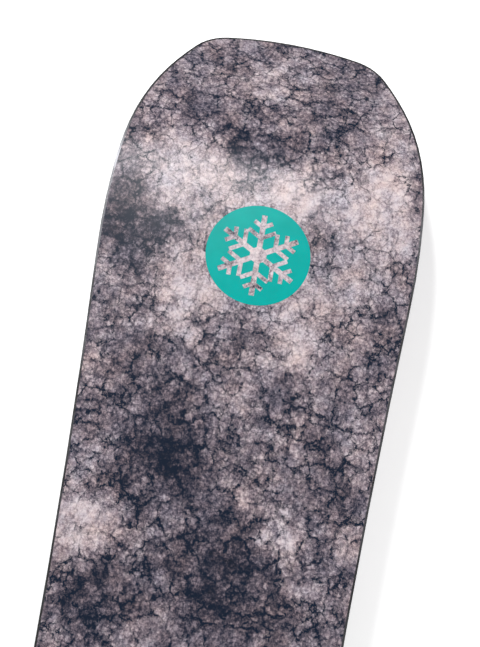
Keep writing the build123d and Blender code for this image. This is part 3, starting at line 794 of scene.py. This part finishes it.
def stitches(strap, cushion):
    """Short thread bars laid on the cushion along its edge."""
    laid = seam_points(strap, cushion)
    verts, faces = [], []
    travelled = 0.0
    for (here, out), (there, _) in zip(laid, laid[1:]):
        step = there - here
        travelled += np.linalg.norm(step)
        if travelled < STITCH_PITCH or np.linalg.norm(step) > LONGEST_SEAM_STEP:
            continue
        travelled = 0.0
        along = step / np.linalg.norm(step)
        away = np.cross(along, out)
        first = len(verts)
        for place, share in STITCH_RINGS:
            centre = here + along * place * STITCH_LENGTH + out * STITCH_LIFT
            for j in range(STITCH_SIDES):
                turn = 2.0 * math.pi * j / STITCH_SIDES
                ring = out * math.cos(turn) + away * math.sin(turn)
                verts.append(centre + ring * STITCH_RADIUS * share)
        add_tube_faces(faces, first, len(STITCH_RINGS), STITCH_SIDES)
        last = len(verts) - STITCH_SIDES
        faces.append(tuple(range(first, first + STITCH_SIDES)))
        faces.append(tuple(range(last + STITCH_SIDES - 1, last - 1, -1)))
    piece = new_piece(strap + "_thread_blank", verts, faces)
    piece.data.shade_smooth()
    return piece


def placed_copy(source, name, matrix):
    """A copy of a piece moved by a matrix, with its faces turned back if the matrix mirrors."""
    piece = link(bpy.data.objects.new(name, source.data.copy()))
    piece.data.transform(matrix)
    if matrix.determinant() < 0:
        piece.data.flip_normals()
    return piece


def finish_piece(piece, material, body):
    piece.data.materials.clear()
    piece.data.materials.append(material)
    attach(piece, body)
    return piece


def build_strap_pads(materials):
    for strap in STRAPS:
        cushion = strap_cushion(strap)
        tape = edge_tape(strap)
        thread = stitches(strap, cushion)
        for foot in FEET:
            matrix = foot_matrix(foot) @ strap_matrix(strap)
            body = f"{foot}_{strap}_strap"
            pad = placed_copy(cushion, f"{foot}_{strap}_cushion", matrix)
            finish_piece(pad, materials["pad_fabric"], body)
            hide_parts(f"{foot}_{strap}_pad")
            edge = placed_copy(tape, f"{foot}_{strap}_edge_tape", matrix)
            finish_piece(edge, materials["edge_tape"], body)
            sewn = placed_copy(thread, f"{foot}_{strap}_stitching", matrix)
            finish_piece(sewn, materials["thread"], body)
        for blank in (cushion, tape, thread):
            bpy.data.objects.remove(blank)


def foam_copy(node, name, voxel):
    """A new piece with a CAD node's shape in small even faces and softened edges."""
    piece = link(bpy.data.objects.new(name, frame["nodes"][node].data.copy()))
    weld = piece.modifiers.new("weld", "WELD")
    weld.merge_threshold = 1e-6
    remesh = piece.modifiers.new("remesh", "REMESH")
    remesh.mode = "VOXEL"
    remesh.voxel_size = voxel
    even = piece.modifiers.new("even", "SMOOTH")
    even.iterations = 3
    apply_modifiers(piece)
    piece.data.shade_smooth()
    return piece


def grooves(position, pitch, half_width):
    """1 in the middle of evenly spaced grooves and 0 outside them."""
    away = abs((position + pitch / 2) % pitch - pitch / 2)
    return 1.0 - smooth(away, half_width * 0.5, half_width)


def within(value, low, high):
    """1 between two limits and 0 outside them, with soft edges."""
    return smooth(value, low - SOFT_EDGE, low) * (1.0 - smooth(value, high, high + SOFT_EDGE))


def shape_footbed(local):
    """Chevrons under the foot, and rings round a shallow dish under the heel."""
    x, y, z = local.T
    top = smooth(z, *FOOTBED_TOP)
    chevrons = grooves(x + CHEVRON_SLOPE * abs(y), *CHEVRONS)
    chevrons = chevrons * within(x, *CHEVRON_LENGTH) * within(y, -CHEVRON_HALF, CHEVRON_HALF)
    heel = np.hypot(x - HEEL_X, y)
    rings = grooves(heel, *HEEL_RINGS) * within(heel, *HEEL_RING_RADII)
    rings = rings * (1.0 - smooth(x, *HEEL_RING_FRONT))
    dish = HEEL_DISH_DEPTH * (1.0 - smooth(heel, 0.0, HEEL_DISH_RADIUS))
    local[:, 2] = z - top * (GROOVE_DEPTH * np.maximum(chevrons, rings) + dish)


def shape_toe_ramp(local):
    """Straight grooves across the ramp."""
    x, y, z = local.T
    top = smooth(z, *TOE_RAMP_TOP)
    inside = within(x, *TOE_GROOVE_LENGTH) * within(y, -TOE_GROOVE_HALF, TOE_GROOVE_HALF)
    local[:, 2] = z - top * GROOVE_DEPTH * grooves(x, *TOE_GROOVES) * inside


def shape_calf_pad(local):
    """Pillows between moulded channels, on the side that the calf leans on."""
    lean = Matrix.Translation((PIVOT[0], 0.0, PIVOT[1]))
    lean = lean @ Matrix.Rotation(math.radians(FORWARD_LEAN), 4, "Y")
    drawn = moved(local, lean.inverted())
    away_x = drawn[:, 0] - SHELL_CENTRE_X
    radius = np.hypot(away_x, drawn[:, 1])
    inner = 1.0 - smooth(radius, *CALF_INNER_SIDE)
    slanted = grooves(drawn[:, 2] + CALF_GROOVE_SLOPE * abs(drawn[:, 1]), *CALF_GROOVES)
    spine = 1.0 - smooth(abs(drawn[:, 1]), *CALF_SPINE)
    deeper = radius + inner * CALF_GROOVE_DEPTH * np.maximum(slanted, spine)
    drawn[:, 0] = SHELL_CENTRE_X + away_x * deeper / radius
    drawn[:, 1] *= deeper / radius
    local[:] = moved(drawn, lean)


def build_foam(materials):
    """The footbed, toe ramp and calf pad of each binding, softened and grooved."""
    for foot in FEET:
        matrix = foot_matrix(foot)
        pieces = (
            ("footbed", FOOT_FOAM_VOXEL, shape_footbed, "board"),
            ("toe_ramp", FOOT_FOAM_VOXEL, shape_toe_ramp, "board"),
            ("highback_pad", CALF_FOAM_VOXEL, shape_calf_pad, f"{foot}_highback_assembly"),
        )
        for name, voxel, shape, body in pieces:
            piece = foam_copy(f"{foot}_{name}", f"{foot}_{name}_foam", voxel)
            local = moved(get_points(piece), matrix.inverted())
            shape(local)
            set_points(piece, moved(local, matrix))
            finish_piece(piece, materials["foam"], body)
            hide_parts(f"{foot}_{name}")


# ---------------------------------------------------------------- stage

def one_sided(name, colour, glow, height):
    """A pale surface that is only there when it is seen from its front."""
    graph = Graph(name)
    speckle = graph.noise(60.0, 3.0)
    shade = graph.ramp(speckle, [(0.3, tuple(c * 0.985 for c in colour)), (0.7, colour)])
    graph.set(base_color=shade, roughness=0.9, specular_ior_level=0.0)
    graph.set(emission_color=(1.0, 1.0, 1.0), emission_strength=glow)
    clear = graph.tree.nodes.new("ShaderNodeBsdfTransparent")
    facing = graph.tree.nodes.new("ShaderNodeNewGeometry")
    choose = graph.tree.nodes.new("ShaderNodeMixShader")
    graph.put(choose.inputs[0], facing.outputs["Backfacing"])
    graph.put(choose.inputs[1], graph.shader.outputs[0])
    graph.put(choose.inputs[2], clear.outputs[0])
    output = graph.tree.nodes["Material Output"]
    graph.put(output.inputs["Surface"], choose.outputs[0])
    half = STAGE_HALF
    corners = [(-half, -half, height), (half, -half, height), (half, half, height), (-half, half, height)]
    plane = new_piece(name, corners, [(0, 1, 2, 3)])
    plane.data.materials.append(graph.material)
    plane.visible_diffuse = False
    plane.visible_glossy = False
    plane.visible_transmission = False
    plane.visible_shadow = False
    return plane


def area_light(name, direction, distance, size, power, unlit, target):
    """A round lamp that faces the target, and leaves one kind of light out if it is named."""
    light = bpy.data.lights.new(name, "AREA")
    light.shape = "DISK"
    light.size = size
    light.energy = power
    lamp = link(bpy.data.objects.new(name, light))
    away = Vector(direction).normalized()
    lamp.location = target + away * distance
    lamp.rotation_mode = "QUATERNION"
    lamp.rotation_quaternion = away.to_track_quat("Z", "Y")
    lamp.visible_camera = False
    lamp.visible_glossy = unlit != "glossy"
    lamp.visible_diffuse = unlit != "diffuse"


def build_stage():
    one_sided("floor", *FLOOR)
    table = one_sided("backdrop", *TABLE)
    table.data.flip_normals()
    for name, settings in LAMPS_BELOW.items():
        area_light(name, *settings, INLAY_CENTRE)
    for name, settings in LAMPS_ABOVE.items():
        area_light(name, *settings, ABOVE_TARGET)
    world = bpy.data.worlds.new("studio")
    bpy.context.scene.world = world
    world.use_nodes = True
    nodes = world.node_tree.nodes
    background = nodes["Background"]
    background.inputs["Color"].default_value = (1.0, 1.0, 1.0, 1.0)
    ray = nodes.new("ShaderNodeLightPath")
    strength = nodes.new("ShaderNodeMapRange")
    strength.inputs["To Min"].default_value = ROOM_LIGHT
    strength.inputs["To Max"].default_value = ROOM_SEEN
    world.node_tree.links.new(ray.outputs["Is Camera Ray"], strength.inputs["Value"])
    world.node_tree.links.new(strength.outputs["Result"], background.inputs["Strength"])
    bpy.context.scene.view_settings.view_transform = "Standard"


def build_camera():
    data = bpy.data.cameras.new("camera")
    data.lens = LENS
    camera = link(bpy.data.objects.new("camera", data))
    forward = (CAMERA_AIM - CAMERA_PLACE).normalized()
    right = forward.cross(CAMERA_UP).normalized()
    up = right.cross(forward)
    rotation = Matrix((right, up, -forward)).transposed()
    camera.matrix_world = Matrix.Translation(CAMERA_PLACE) @ rotation.to_4x4()
    bpy.context.scene.camera = camera


materials = make_materials()
paint_frame(materials)
build_strap_pads(materials)
build_foam(materials)
build_stage()
build_camera()
